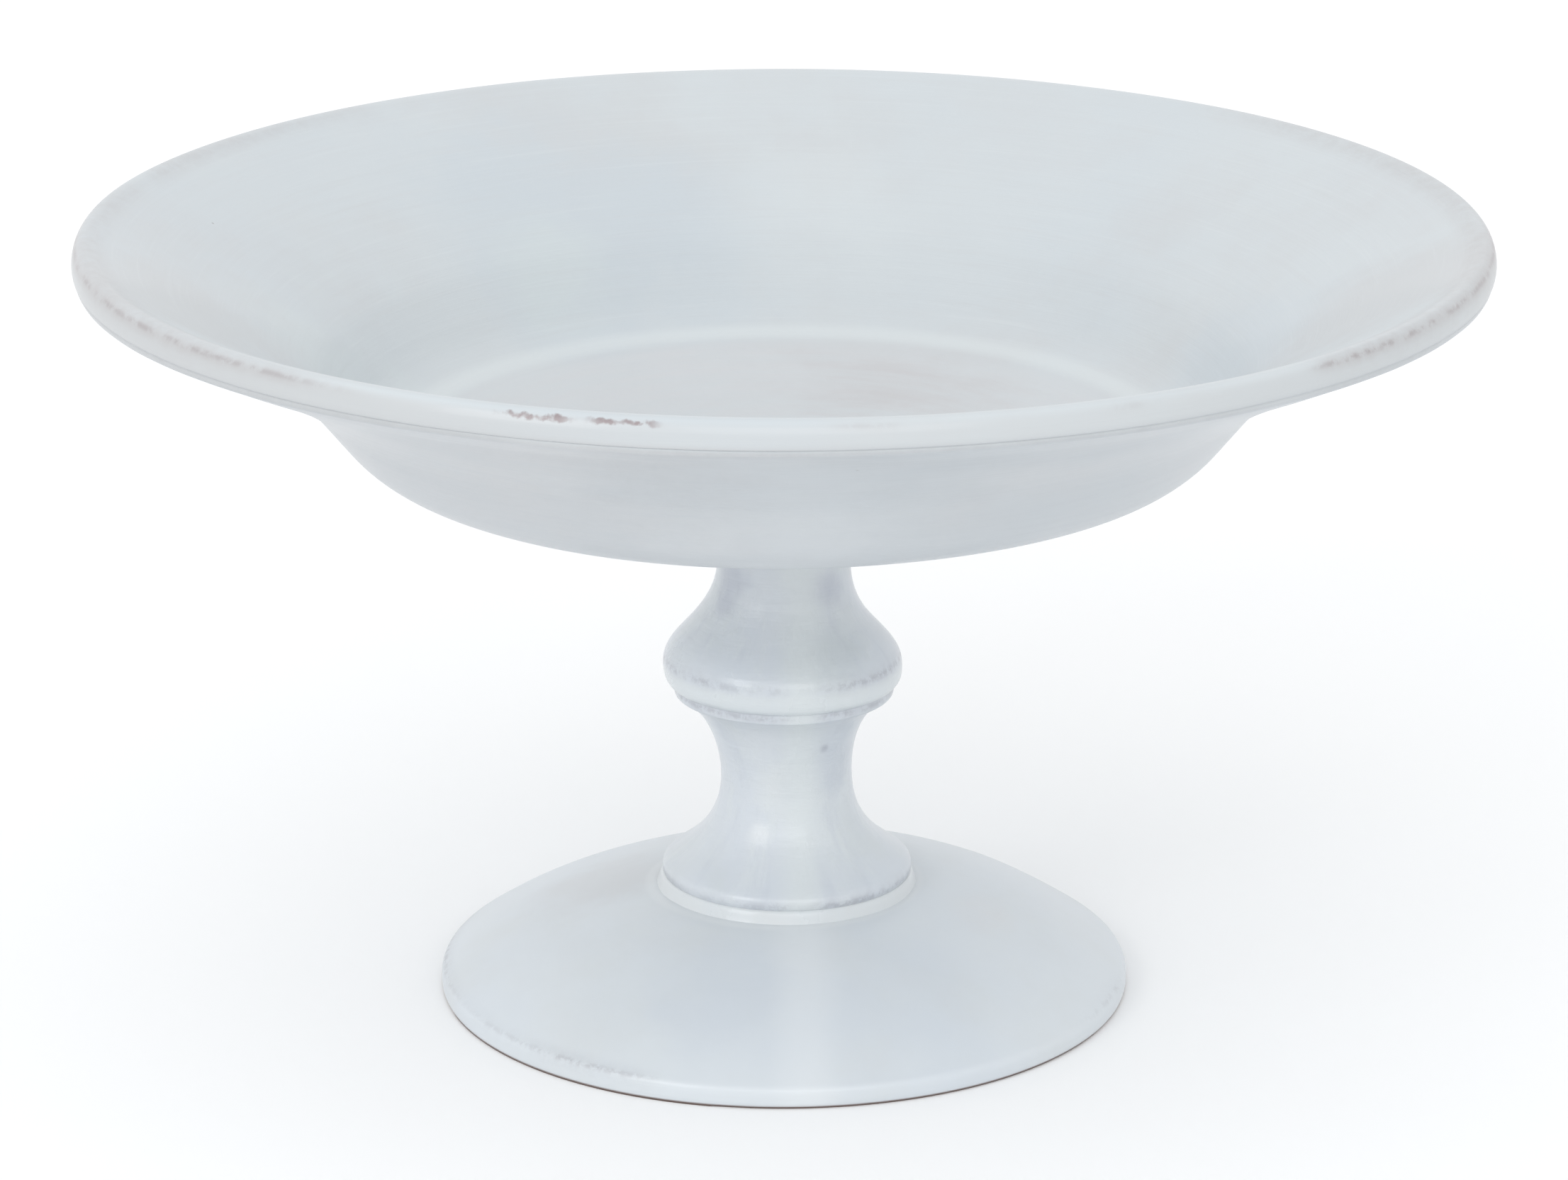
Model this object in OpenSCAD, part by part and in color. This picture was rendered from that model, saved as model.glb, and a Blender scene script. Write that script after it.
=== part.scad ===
// Handmade glazed earthenware cake stand: a flared bowl on a hollow turned
// stem and a hollow foot. Clay parts thrown one by one, luted with slip.
// Millimetres, Z up, table plane at z = 0, the axis of the wheel on Z.

/* [Overall] */
// Diameter over the lip of the bowl
rim_d = 310; // [250:1:380]
// Height from the table to the top of the lip
stand_h = 176.5; // [145:0.5:220]
// Diameter over the edge of the foot
foot_d = 155.5; // [125:0.5:190]
// Thickness of each slip joint between two clay parts
slip_t = 1.2; // [0.6:0.1:2]
// Radius of the bore that vents the hollow stem
bore_r = 7.5; // [5:0.5:9]

/* [Bowl] */
// Height of the bowl from the bottom of its boss to the top of the lip
bowl_h = 71.8; // [60:0.1:90]
// Diameter at the corner between the well floor and the wall
well_d = 180; // [145:1:216]
// Height of that corner above the bottom of the boss
well_z = 25.6; // [20:0.1:32]
// Height of the middle of the floor above the bottom of the boss
floor_z = 19.3; // [15:0.1:23]
// Diameter of the level disc in the middle of the floor
flat_d = 80; // [40:5:100]
// Sideways run of the steep wall above the well corner
wall_run = 11; // [8:0.5:16]
// Rise of the steep wall above the well corner
wall_rise = 14.2; // [9:0.1:18]
// Thickness of the bowl wall
wall_t = 5; // [4:0.1:7]
// Angle of the rim from level where it reaches the lip
flare_a = 22; // [15:1:30]
// Width of the lip, across its rounded top
lip_w = 6; // [4:0.5:9]
// Height of the outer face of the lip
lip_h = 7.9; // [6:0.1:12]
// Radius of the boss that sits on the stem
boss_r = 16; // [14:0.5:19]
// Height of the curve from the boss into the underside
boss_z = 8.5; // [6:0.5:10]

/* [Stem] */
// Part of the stem height taken by the lower stem
lower_share = 0.58; // [0.45:0.005:0.65]
// Radius at the waist of the lower stem
waist_r = 14.7; // [13:0.1:18]
// Height of the waist as a part of the lower stem
waist_at = 0.55; // [0.45:0.01:0.65]
// Radius where the lower stem bends out into its small flange
throat_r = 19.5; // [17:0.1:22]
// Height of that flange, from the bend up to the crease
flange_h = 4.4; // [3:0.1:6]
// Radius at the crease where the two stem parts meet
crease_r = 24.6; // [22:0.1:28]
// Radius of the rounded collar at the bottom of the stem
collar_r = 28.2; // [24:0.1:33]
// Height of the rounded collar
collar_h = 5.6; // [4:0.1:8]
// Radius of the knop at its widest
knop_r = 26.8; // [23:0.1:32]
// Height of the widest place as a part of the knop piece
knop_at = 0.155; // [0.12:0.005:0.3]
// Radius of the neck under the bowl
neck_r = 14.8; // [13:0.1:18]
// Thickness of the clay round the hollow of the knop
knop_wall = 12; // [8:0.5:14]

/* [Foot] */
// Height of the seat on top of the foot
foot_h = 23.8; // [18:0.1:30]
// Height of the outer edge of the foot
edge_h = 5.4; // [3:0.1:7]
// Radius that rounds the top of the outer edge of the foot
edge_r = 2.2; // [1:0.1:2.6]
// Radius that rounds its lower corner on the table
base_r = 1.1; // [0.5:0.1:1.6]
// How far the top of the foot swells above a straight cone
foot_swell = 2.8; // [0:0.1:4]
// Width of the flat ring that stands on the table
ring_w = 5.5; // [4:0.5:9]
// Thickness of the hollow foot
foot_t = 6.5; // [5:0.1:9]

/* [Part] */
// Piece to draw, or all of them

/* [Hidden] */
$fn = 96;
glaze = [0.83, 0.85, 0.87];
slip = [0.90, 0.91, 0.91];

// Levels of the joint faces, from the table up.
z_lower = foot_h + slip_t;
stem_h = stand_h - bowl_h - foot_h - 3 * slip_t;
z_crease = z_lower + stem_h * lower_share;
z_knop = z_crease + slip_t;
z_neck = stand_h - bowl_h - slip_t;
z_bowl = stand_h - bowl_h;
lower_h = z_crease - z_lower;
knop_h = z_neck - z_knop;

// Radius of the seat that the collar stands on, a little inside its bulge.
seat_r = collar_r - 1;

// A point at a polar distance from another point.
function go(p, a, d) = [p.x + d * cos(a), p.y + d * sin(a)];

// An arc of an ellipse about c, half width w and half height h.
function arc(c, w, h, a0, a1, n) =
    [for (i = [0 : n]) let (a = a0 + (a1 - a0) * i / n)
        [c.x + w * cos(a), c.y + h * sin(a)]];

// A smooth cubic curve from p to s that leaves towards q and arrives from r.
function curve(p, q, r, s, n) =
    [for (i = [0 : n]) let (t = i / n, u = 1 - t)
        u*u*u*p + 3*u*u*t*q + 3*u*t*t*r + t*t*t*s];

// A corner c between two neighbours, eased over the length d on each side.
function eased(before, c, after, d, n) =
    let (p = c + d * (before - c) / norm(before - c),
         s = c + d * (after - c) / norm(after - c))
    [for (i = [0 : n]) let (t = i / n, u = 1 - t)
        u*u*p + 2*u*t*c + t*t*s];

// Slope of the line from a to b.
function slope(a, b) = atan2(b.y - a.y, b.x - a.x);

module turned(outline, paint) {
    color(paint)
        rotate_extrude()
            polygon(outline);
}

// Bowl: dished floor, steep well wall, flared rim and a square-cut lip.
lip_edge = [rim_d / 2, stand_h - lip_h * 0.55];
lip_top = [rim_d / 2 - lip_w * 0.4, stand_h];
lip_in = [rim_d / 2 - lip_w, stand_h - lip_h * 0.15];
lip_low = [rim_d / 2 - 0.85, stand_h - lip_h];
lip_out = [rim_d / 2 - 3, stand_h - lip_h - 0.9];
floor_c = [0, z_bowl + floor_z];
well_c = [well_d / 2, z_bowl + well_z];
wall_c = well_c + [wall_run, wall_rise];
floor_a = 12;
out_well = go(well_c, (floor_a + slope(well_c, wall_c)) / 2 - 90, wall_t);
out_wall = go(wall_c, slope(well_c, wall_c) - 93, wall_t);
boss_top = [boss_r + 10, z_bowl + boss_z];

module bowl() {
    under = eased(go(out_well, 180 + floor_a, 20), out_well, out_wall, 9, 8);
    turned(concat(
        [[0, z_bowl], [boss_r, z_bowl]],
        curve([boss_r, z_bowl + 0.6], [boss_r, z_bowl + boss_z * 0.5],
              go(boss_top, 194, 6), boss_top, 8),
        curve(boss_top, go(boss_top, 14, 14),
              go(under[0], 180 + floor_a, 22), under[0], 10),
        under,
        curve(out_wall, go(out_wall, slope(out_well, out_wall), 11),
              go(lip_out, 180 + flare_a, 22), lip_out, 14),
        curve(lip_out, go(lip_out, flare_a, 1.4),
              [lip_low.x - 0.3, lip_low.y - 0.7], lip_low, 5),
        curve(lip_low, lip_low + [0.5, 0.9],
              lip_edge - [0, 1.2], lip_edge, 5),
        curve(lip_edge, lip_edge + [0, lip_h * 0.25],
              lip_top + [lip_w * 0.2, 0], lip_top, 8),
        curve(lip_top, lip_top - [lip_w * 0.25, 0],
              go(lip_in, flare_a + 4, 1.8), lip_in, 5),
        curve(lip_in, go(lip_in, 184 + flare_a, 20),
              go(wall_c, slope(well_c, wall_c), 9), wall_c, 14),
        eased(wall_c, well_c, go(well_c, 180 + floor_a, 20), 7, 8),
        curve(go(well_c, 180 + floor_a, 12), go(well_c, 180 + floor_a, 22),
              floor_c + [flat_d / 2 + 12, 0], floor_c + [flat_d / 2, 0], 8),
        [floor_c]), glaze);
}

// Joint between boss and neck: a thin slip disc with a soft outer bead.
module bowl_joint_slip() {
    turned(concat(
        [[0, z_neck], [neck_r, z_neck]],
        arc([neck_r, z_neck + slip_t / 2], 0.9, slip_t / 2, -90, 90, 8),
        [[0, z_bowl]]), slip);
}

// Knop: the upper stem, thrown hollow, from the crease up to the neck.
knop_z = z_knop + knop_h * knop_at;

module knop() {
    top_c = [neck_r, z_neck - knop_h * 0.1];
    turned(concat(
        curve([crease_r, z_knop], go([crease_r, z_knop], 25, 2.0),
              [knop_r, knop_z - knop_h * 0.09], [knop_r, knop_z], 8),
        curve([knop_r, knop_z], [knop_r, knop_z + knop_h * 0.21],
              [neck_r, top_c.y - knop_h * 0.44], top_c, 16),
        [[neck_r, z_neck], [bore_r, z_neck]],
        curve([bore_r, top_c.y], [bore_r, top_c.y - knop_h * 0.4],
              [knop_r - knop_wall, knop_z + knop_h * 0.3],
              [knop_r - knop_wall, knop_z], 12),
        [[knop_r - knop_wall, z_knop]]), glaze);
}

// Joint in the crease under the knop, as wide as the clay it sits on.
flange_in = knop_r - knop_wall;

module stem_joint_slip() {
    turned(concat(
        [[flange_in, z_crease]],
        arc([crease_r - 0.2, z_crease + slip_t / 2], 0.4, slip_t / 2, -90, 90, 6),
        [[flange_in, z_knop]]), slip);
}

// Lower stem: rounded collar, slender waist, flare and a small flange on top.
waist_z = z_lower + lower_h * waist_at;
throat = [throat_r, z_crease - flange_h];

module lower_stem() {
    roll = arc([collar_r - collar_h * 0.55, z_lower + collar_h / 2],
               collar_h * 0.55, collar_h / 2, -70, 55, 10);
    roll_top = roll[len(roll) - 1];
    turned(concat(
        [[bore_r, z_lower], [roll[0].x, z_lower]],
        roll,
        curve(roll_top, go(roll_top, 145, 7),
              [waist_r, waist_z - lower_h * 0.25], [waist_r, waist_z], 12),
        curve([waist_r, waist_z], [waist_r, waist_z + lower_h * 0.11],
              go(throat, 231, 5.6), throat, 10),
        curve(throat, go(throat, 46, 2.2),
              go([crease_r, z_crease], 222, 2), [crease_r, z_crease], 5),
        [[flange_in, z_crease]],
        curve([flange_in, z_crease - 1.5], [flange_in, z_crease - 5],
              [bore_r, throat.y], [bore_r, throat.y - 6], 8)), glaze);
}

// Joint under the collar: its slip squeezes out into a pale ring.
module foot_joint_slip() {
    turned(concat(
        [[bore_r, foot_h], [seat_r + 1.2, foot_h]],
        arc([seat_r + 0.4, foot_h + slip_t / 2], 1.5, slip_t / 2, -80, 80, 8),
        [[bore_r, z_lower]]), slip);
}

// Foot: a low swelling cone, hollow underneath, standing on a flat ring.
module foot() {
    edge_x = foot_d / 2 - edge_r;
    top_r = seat_r + 2.4;
    edge_top = arc([edge_x, edge_h - edge_r], edge_r, edge_r, 0, 70, 5);
    crest = edge_top[len(edge_top) - 1];
    seat = [top_r, foot_h];
    swell = (crest + seat) / 2 + [foot_swell * 1.6, foot_swell * 1.6];
    ring_in = [foot_d / 2 - base_r - ring_w, 0];
    cave_out = ring_in + [-2, edge_h - 2];
    cave_top = [bore_r + 9, foot_h - foot_t];
    turned(concat(
        arc([foot_d / 2 - base_r, base_r], base_r, base_r, -90, 0, 4),
        edge_top,
        curve(crest, (crest + 2 * swell) / 3, (seat + 2 * swell) / 3, seat, 12),
        [[bore_r, foot_h], [bore_r, foot_h - foot_t]],
        curve(cave_top, cave_top + [14, 0],
              cave_out + [-16, 7.5], cave_out, 10),
        [ring_in]), glaze);
}

bowl();
bowl_joint_slip();
knop();
stem_joint_slip();
lower_stem();
foot_joint_slip();
foot();
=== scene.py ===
"""Handmade footed cake stand: a wide flared bowl on a turned stem and a hollow foot,
thrown in brown earthenware, luted with slip and covered with a milky satin glaze."""
import math

import bpy
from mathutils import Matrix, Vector


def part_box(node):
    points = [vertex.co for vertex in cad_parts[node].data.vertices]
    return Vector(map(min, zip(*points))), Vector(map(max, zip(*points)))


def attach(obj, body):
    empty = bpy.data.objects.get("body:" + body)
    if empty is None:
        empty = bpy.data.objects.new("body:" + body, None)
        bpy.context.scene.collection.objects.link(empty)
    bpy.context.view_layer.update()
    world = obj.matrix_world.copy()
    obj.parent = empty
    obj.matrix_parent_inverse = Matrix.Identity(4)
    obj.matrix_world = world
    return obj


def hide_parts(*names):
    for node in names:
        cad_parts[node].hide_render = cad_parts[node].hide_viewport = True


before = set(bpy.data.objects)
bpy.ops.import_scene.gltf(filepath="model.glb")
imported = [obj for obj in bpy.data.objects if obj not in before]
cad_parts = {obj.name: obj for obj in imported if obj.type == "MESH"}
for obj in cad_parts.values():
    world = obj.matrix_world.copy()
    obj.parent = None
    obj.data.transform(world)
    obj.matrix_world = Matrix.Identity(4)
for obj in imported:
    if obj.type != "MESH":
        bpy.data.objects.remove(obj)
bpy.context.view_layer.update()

# ---------------------------------------------------------------- camera
# A long lens a little above the lip, looking down at the foot, straight from the front.
view_data = bpy.data.cameras.new("front_view")
view_data.lens = 134.3
view_data.sensor_width = 36.0
view_data.clip_end = 60.0
view_point = bpy.data.objects.new("front_view", view_data)
view_point.location = (0.0, -1.2413, 0.4924)
view_point.rotation_euler = (math.radians(90.0 - 17.856), 0.0, 0.0)
bpy.context.scene.collection.objects.link(view_point)
bpy.context.scene.camera = view_point

# ---------------------------------------------------------------- the bowl
# The bowl is one thrown piece of brown clay: a boss below, a level floor, a steep well
# wall, a flared rim and a lip rolled over at the edge. The glaze is poured and brushed on,
# and it thins to bare clay along the lip.
MM = 0.001
bowl_low, bowl_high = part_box("bowl")
rim_r = bowl_high.x / MM
bowl_base = bowl_low.z / MM
bowl_h = bowl_high.z / MM - bowl_base


def reach(start, turn, length):
    """The place at a length from start, in the direction turn in degrees."""
    return (start[0] + length * math.cos(math.radians(turn)),
            start[1] + length * math.sin(math.radians(turn)))


def slope(start, end):
    return math.degrees(math.atan2(end[1] - start[1], end[0] - start[0]))


def bend(start, leave, arrive, end, steps):
    """A smooth curve that leaves start towards leave and comes to end from arrive."""
    made = []
    for i in range(steps + 1):
        t = i / steps
        u = 1 - t
        made.append(tuple(
            u**3 * a + 3 * u * u * t * b + 3 * u * t * t * c + t**3 * d
            for a, b, c, d in zip(start, leave, arrive, end)))
    return made


def eased(before, corner, after, length, steps):
    """A corner between two neighbours, rounded over a length on each side."""
    first = reach(corner, slope(corner, before), length)
    last = reach(corner, slope(corner, after), length)
    return bend(first, reach(first, slope(first, corner), length * 2 / 3),
                reach(last, slope(last, corner), length * 2 / 3), last, steps)


def thrown(name, outline, turns, base=0.0):
    """Half an outline of (radius, height) in mm, drawn point by point and spun on the wheel."""
    bpy.ops.object.select_all(action="DESELECT")
    start = (outline[0][0] * MM, 0, (outline[0][1] + base) * MM)
    bpy.ops.mesh.primitive_plane_add(size=0.002, location=start)
    piece = bpy.context.object
    piece.name = name
    bpy.ops.object.mode_set(mode="EDIT")
    bpy.ops.mesh.select_all(action="SELECT")
    bpy.ops.mesh.merge(type="CENTER")
    for (r0, z0), (r1, z1) in zip(outline, outline[1:]):
        if math.hypot(r1 - r0, z1 - z0) > 0.01:
            step = ((r1 - r0) * MM, 0, (z1 - z0) * MM)
            bpy.ops.mesh.extrude_region_move(TRANSFORM_OT_translate={"value": step})
    bpy.ops.mesh.select_all(action="SELECT")
    bpy.ops.mesh.spin(steps=turns, angle=2 * math.pi, center=(0, 0, 0), axis=(0, 0, 1))
    bpy.ops.mesh.select_all(action="SELECT")
    bpy.ops.mesh.remove_doubles(threshold=0.00003)
    bpy.ops.mesh.normals_make_consistent(inside=False)
    bpy.ops.object.mode_set(mode="OBJECT")
    bpy.ops.object.transform_apply(location=True, rotation=True, scale=True)
    return piece


def smoothed(piece, levels):
    """Even out the throwing facets and keep the result."""
    soft = piece.modifiers.new("soft", "SUBSURF")
    soft.levels = levels
    soft.render_levels = levels
    bpy.context.view_layer.objects.active = piece
    bpy.ops.object.modifier_apply(modifier="soft")
    bpy.ops.object.select_all(action="DESELECT")
    piece.select_set(True)
    bpy.ops.object.shade_smooth()


def hand_wobble(piece, size, depth):
    """Slow dents and swellings that a hand leaves in wet clay."""
    lump = bpy.data.textures.new(piece.name + "_wobble", "CLOUDS")
    lump.noise_scale = size
    lump.noise_depth = 1
    push = piece.modifiers.new("wobble", "DISPLACE")
    push.texture = lump
    push.texture_coords = "LOCAL"
    push.strength = depth
    push.mid_level = 0.5
    bpy.context.view_layer.objects.active = piece
    bpy.ops.object.modifier_apply(modifier="wobble")


def nudge(piece, picks, shift, fade=0.0):
    """Move the points that picks chooses by shift in mm, fading out over fade in mm."""
    bpy.ops.object.select_all(action="DESELECT")
    piece.select_set(True)
    bpy.context.view_layer.objects.active = piece
    bpy.ops.object.mode_set(mode="EDIT")
    bpy.ops.mesh.select_all(action="DESELECT")
    bpy.ops.object.mode_set(mode="OBJECT")
    for point in piece.data.vertices:
        point.select = picks(point.co / MM)
    bpy.ops.object.mode_set(mode="EDIT")
    bpy.ops.transform.translate(
        value=[s * MM for s in shift], use_proportional_edit=fade > 0,
        proportional_edit_falloff="SMOOTH", proportional_size=max(fade, 1) * MM)
    bpy.ops.object.mode_set(mode="OBJECT")


well_corner = (90, 25.6)
wall_top = (101, 39.8)
lip_edge = (rim_r, bowl_h - 4.35)
lip_crown = (rim_r - 2.4, bowl_h)
lip_inside = (rim_r - 6, bowl_h - 1.2)
lip_corner = (rim_r - 0.85, bowl_h - 7.9)
lip_under = (rim_r - 3, bowl_h - 8.8)
under_well = reach(well_corner, (12 + slope(well_corner, wall_top)) / 2 - 90, 5)
under_wall = reach(wall_top, slope(well_corner, wall_top) - 93, 5)
belly = eased(reach(under_well, 192, 20), under_well, under_wall, 9, 8)
boss_top = (26, 8.5)
lip_crease = (rim_r - 0.5, bowl_h - 7.0)
bowl_outline = (
    [(0, 0), (7, 0), (14, 0), (15.7, 0.1), (16, 0.6), (16, 1.6)]
    + bend((16, 2), (16, 4.3), reach(boss_top, 194, 6), boss_top, 7)
    + bend(boss_top, reach(boss_top, 14, 14), reach(belly[0], 192, 22), belly[0], 9)
    + belly
    + bend(under_wall, reach(under_wall, slope(under_well, under_wall), 11),
           reach(lip_under, 202, 22), lip_under, 14)
    + bend(lip_under, reach(lip_under, 22, 1.4), (lip_corner[0] - 0.3, lip_corner[1] - 0.7),
           lip_corner, 4)
    + [lip_crease, (lip_crease[0] - 0.32, lip_crease[1] + 0.22),
       (lip_crease[0] + 0.1, lip_crease[1] + 0.5)]
    + bend((rim_r - 0.2, bowl_h - 5.9), (rim_r - 0.02, bowl_h - 5.2), (rim_r, bowl_h - 4.9),
           lip_edge, 3)
    + bend(lip_edge, (rim_r, lip_edge[1] + 2), (lip_crown[0] + 1.2, bowl_h), lip_crown, 7)
    + bend(lip_crown, (lip_crown[0] - 1.5, bowl_h), reach(lip_inside, 26, 1.8), lip_inside, 4)
    + bend(lip_inside, reach(lip_inside, 206, 20),
           reach(wall_top, slope(well_corner, wall_top), 9), wall_top, 15)
    + eased(wall_top, well_corner, reach(well_corner, 192, 20), 7, 8)
    + bend(reach(well_corner, 192, 12), reach(well_corner, 192, 22), (52, 19.3), (40, 19.3), 7)
    + [(30, 19.3), (20, 19.3), (10, 19.3), (0, 19.3)])
bowl = thrown("bowl_thrown", bowl_outline, 120, bowl_base)
# The lip is pinched a little thinner towards the front.
for pinch in range(1, 8):
    nudge(bowl, lambda at, k=pinch: at.xy.length > 148 and at.z < bowl_base + bowl_h - 6
          and -at.y / at.xy.length > k / 8, (0, 0, 0.12))
smoothed(bowl, 1)
hand_wobble(bowl, 0.11, 0.0006)
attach(bowl, "root")
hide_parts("bowl")


def put(tree, kind, spot, **settings):
    """One node at a spot of the tree, in steps of 200, with its plain settings."""
    made = tree.nodes.new(kind)
    made.location = (spot[0] * 200, spot[1] * -200)
    for key, value in settings.items():
        setattr(made, key, value)
    return made


def feed(tree, socket, source):
    """Link a socket to another node's output, or give it a plain value."""
    if isinstance(source, bpy.types.NodeSocket):
        tree.links.new(source, socket)
    else:
        socket.default_value = source


def maths(tree, operation, spot, first, second=0.0, third=0.0):
    made = put(tree, "ShaderNodeMath", spot, operation=operation)
    for socket, source in zip(made.inputs, (first, second, third)):
        feed(tree, socket, source)
    return made.outputs[0]


def smooth_step(tree, spot, value, low, high, to_low=0.0, to_high=1.0):
    made = put(tree, "ShaderNodeMapRange", spot, interpolation_type="SMOOTHSTEP")
    for name, source in (("Value", value), ("From Min", low), ("From Max", high),
                         ("To Min", to_low), ("To Max", to_high)):
        feed(tree, made.inputs[name], source)
    return made.outputs[0]


def blend(tree, spot, share, first, second, kind="MIX"):
    made = put(tree, "ShaderNodeMix", spot, data_type="RGBA", blend_type=kind)
    feed(tree, made.inputs[0], share)
    feed(tree, made.inputs[6], first)
    feed(tree, made.inputs[7], second)
    return made.outputs[2]


def new_group(name, takes, gives):
    """A shader group with its named sockets; a tuple of (name, kind, start value)."""
    tree = bpy.data.node_groups.new(name, "ShaderNodeTree")
    for label, kind, value in takes:
        socket = tree.interface.new_socket(label, in_out="INPUT", socket_type=kind)
        if value is not None:
            socket.default_value = value
    for label, kind in gives:
        tree.interface.new_socket(label, in_out="OUTPUT", socket_type=kind)
    return tree, put(tree, "NodeGroupInput", (0, 0)), put(tree, "NodeGroupOutput", (12, 0))


FLOAT, VECTOR, COLOUR = "NodeSocketFloat", "NodeSocketVector", "NodeSocketColor"

# Where a point lies on the turned form: its radius and height in mm, and its direction.
turned_place, enter, leave = new_group(
    "turned_place", [("Place", VECTOR, None)],
    [("Radius", FLOAT), ("Height", FLOAT), ("Round", VECTOR), ("Across", FLOAT),
     ("Towards", FLOAT)])
split = put(turned_place, "ShaderNodeSeparateXYZ", (1, 0))
feed(turned_place, split.inputs[0], enter.outputs["Place"])
flat = put(turned_place, "ShaderNodeCombineXYZ", (2, 0))
feed(turned_place, flat.inputs[0], split.outputs[0])
feed(turned_place, flat.inputs[1], split.outputs[1])
far = put(turned_place, "ShaderNodeVectorMath", (3, 0), operation="LENGTH")
feed(turned_place, far.inputs[0], flat.outputs[0])
unit = put(turned_place, "ShaderNodeVectorMath", (3, 1), operation="NORMALIZE")
feed(turned_place, unit.inputs[0], flat.outputs[0])
feed(turned_place, leave.inputs["Radius"],
     maths(turned_place, "MULTIPLY", (4, 0), far.outputs["Value"], 1000.0))
feed(turned_place, leave.inputs["Height"],
     maths(turned_place, "MULTIPLY", (4, 1), split.outputs[2], 1000.0))
feed(turned_place, leave.inputs["Across"],
     maths(turned_place, "MULTIPLY", (4, 2), split.outputs[0], 1000.0))
feed(turned_place, leave.inputs["Towards"],
     maths(turned_place, "MULTIPLY", (4, 3), split.outputs[1], -1000.0))
feed(turned_place, leave.inputs["Round"], unit.outputs[0])

# Streaks round the form or down it: many steps one way, few the other.
wheel_streaks, enter, leave = new_group(
    "wheel_streaks",
    [("Radius", FLOAT, 0.0), ("Height", FLOAT, 0.0), ("Round", VECTOR, None),
     ("Steps round", FLOAT, 2.0), ("Steps up", FLOAT, 1.0), ("Steps out", FLOAT, 1.0),
     ("Shift", FLOAT, 0.0), ("Fine", FLOAT, 3.0)],
    [("Streaks", FLOAT)])
ring = put(wheel_streaks, "ShaderNodeVectorMath", (2, 0), operation="SCALE")
feed(wheel_streaks, ring.inputs[0], enter.outputs["Round"])
feed(wheel_streaks, ring.inputs["Scale"], enter.outputs["Steps round"])
rise = maths(wheel_streaks, "MULTIPLY", (2, 1), enter.outputs["Height"],
             enter.outputs["Steps up"])
along = maths(wheel_streaks, "MULTIPLY_ADD", (3, 1), enter.outputs["Radius"],
              enter.outputs["Steps out"], rise)
along = maths(wheel_streaks, "ADD", (4, 1), along, enter.outputs["Shift"])
lift = put(wheel_streaks, "ShaderNodeCombineXYZ", (5, 1))
feed(wheel_streaks, lift.inputs[2], along)
spot = put(wheel_streaks, "ShaderNodeVectorMath", (6, 0), operation="ADD")
feed(wheel_streaks, spot.inputs[0], ring.outputs[0])
feed(wheel_streaks, spot.inputs[1], lift.outputs[0])
grain = put(wheel_streaks, "ShaderNodeTexNoise", (8, 0))
grain.inputs["Scale"].default_value = 1.0
grain.inputs["Roughness"].default_value = 0.6
feed(wheel_streaks, grain.inputs["Vector"], spot.outputs[0])
feed(wheel_streaks, grain.inputs["Detail"], enter.outputs["Fine"])
feed(wheel_streaks, leave.inputs["Streaks"], grain.outputs["Fac"])

# Milky glaze: white clouds over a bluish body, with warm patches where it lies thin.
milky_clouds, enter, leave = new_group(
    "milky_clouds",
    [("Place", VECTOR, None), ("Milk", COLOUR, None), ("Blue", COLOUR, None),
     ("Warm", COLOUR, None), ("Patch", FLOAT, 14.0), ("Blue share", FLOAT, 0.6),
     ("Warm share", FLOAT, 0.4), ("Shift", FLOAT, 0.0)],
    [("Colour", COLOUR), ("Thick", FLOAT)])
wide = put(milky_clouds, "ShaderNodeTexNoise", (2, 0), noise_dimensions="4D")
feed(milky_clouds, wide.inputs["Vector"], enter.outputs["Place"])
feed(milky_clouds, wide.inputs["Scale"], enter.outputs["Patch"])
feed(milky_clouds, wide.inputs["W"], enter.outputs["Shift"])
wide.inputs["Detail"].default_value = 5.0
wide.inputs["Roughness"].default_value = 0.6
warm_scale = maths(milky_clouds, "MULTIPLY", (1, 2), enter.outputs["Patch"], 1.7)
warm_shift = maths(milky_clouds, "ADD", (1, 3), enter.outputs["Shift"], 7.3)
patchy = put(milky_clouds, "ShaderNodeTexNoise", (2, 2), noise_dimensions="4D")
feed(milky_clouds, patchy.inputs["Vector"], enter.outputs["Place"])
feed(milky_clouds, patchy.inputs["Scale"], warm_scale)
feed(milky_clouds, patchy.inputs["W"], warm_shift)
patchy.inputs["Detail"].default_value = 5.0
patchy.inputs["Roughness"].default_value = 0.6
blue_part = smooth_step(milky_clouds, (4, 0), wide.outputs["Fac"], 0.38, 0.66)
blue_part = maths(milky_clouds, "MULTIPLY", (5, 0), blue_part, enter.outputs["Blue share"])
warm_part = smooth_step(milky_clouds, (4, 2), patchy.outputs["Fac"], 0.46, 0.72)
warm_part = maths(milky_clouds, "MULTIPLY", (5, 2), warm_part, enter.outputs["Warm share"])
body = blend(milky_clouds, (7, 0), blue_part, enter.outputs["Milk"], enter.outputs["Blue"])
body = blend(milky_clouds, (8, 1), warm_part, body, enter.outputs["Warm"])
feed(milky_clouds, leave.inputs["Colour"], body)
feed(milky_clouds, leave.inputs["Thick"], wide.outputs["Fac"])

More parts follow.
